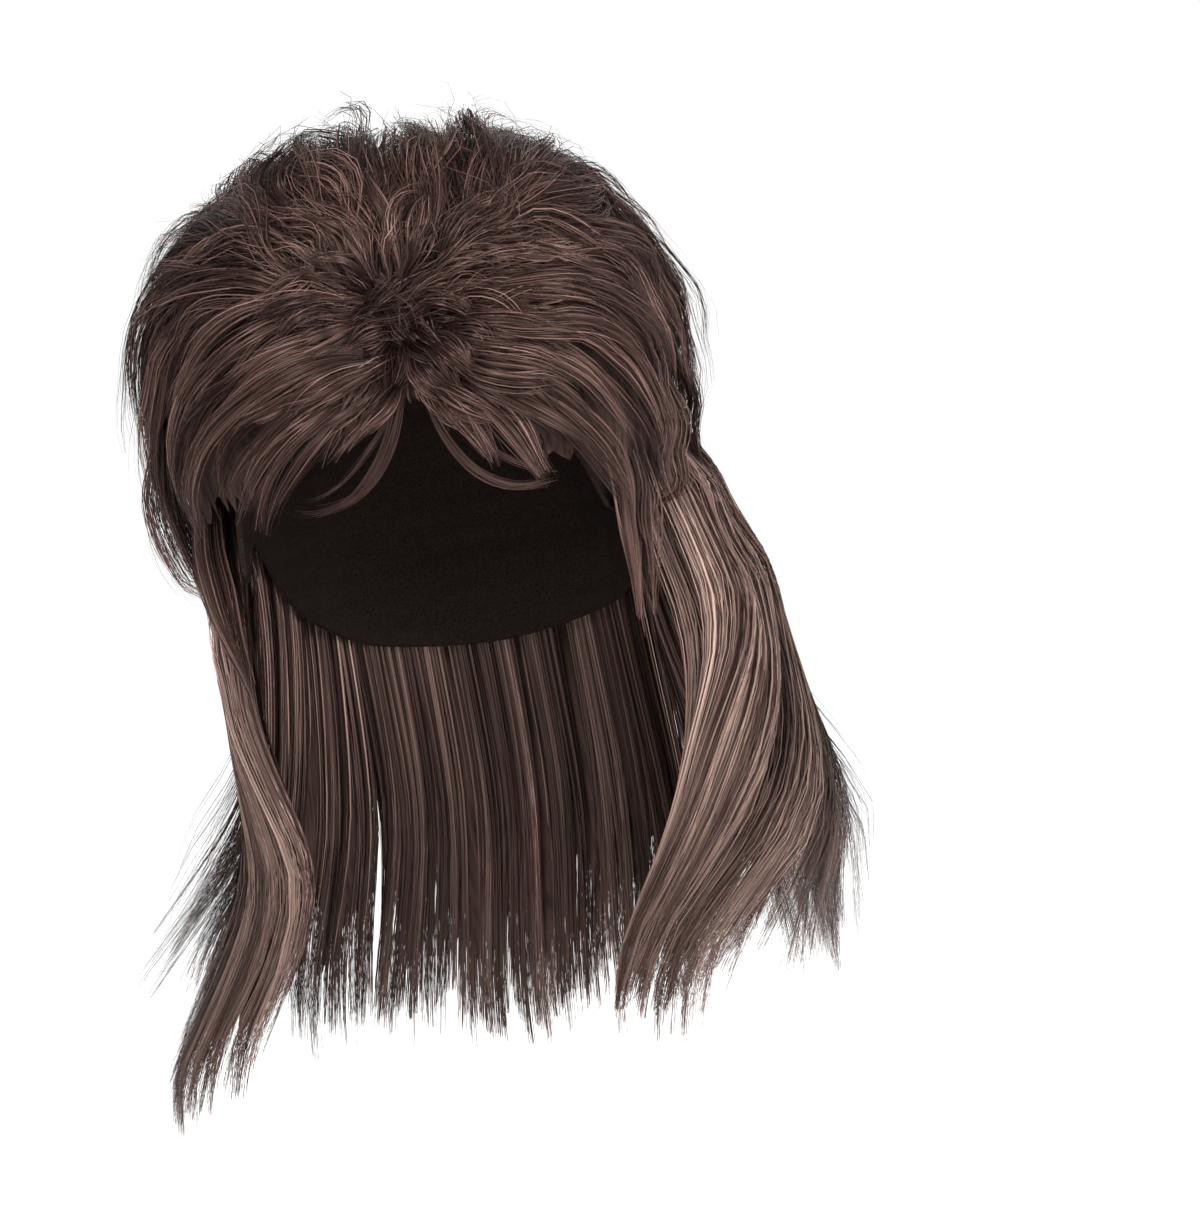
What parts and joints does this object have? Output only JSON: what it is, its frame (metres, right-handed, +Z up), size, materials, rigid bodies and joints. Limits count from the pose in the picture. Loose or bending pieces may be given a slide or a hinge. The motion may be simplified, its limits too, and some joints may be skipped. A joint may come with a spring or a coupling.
{
  "type": "mullet wig",
  "caption": "Mullet wig: teased short hair with a parted fringe on a stretch cap, feathered sides and long straight hair at the back.",
  "frame": {"origin": "inside top of the cap, where the crown of the head bears", "axes": "+Z up along the head's axis, -Y towards the face, +X towards the wearer's left"},
  "size_m": [0.2963, 0.2389, 0.3908],
  "materials": {
    "net": "matt dark brown stretch net with an elastic band",
    "short_hair": "dark brown synthetic hair, teased, soft sheen",
    "long_hair": "brown synthetic hair, straight, streaked, glossy"
  },
  "bodies": {
    "root": {"wig_cap": "net", "crown_hair": "short_hair", "fringe_left": "short_hair", "fringe_right": "short_hair", "side_left": "short_hair", "side_right": "short_hair", "sideburn_left": "short_hair", "sideburn_right": "short_hair", "tail_left": "long_hair", "tail_back": "long_hair", "tail_right": "long_hair"}
  },
  "joints": []
}
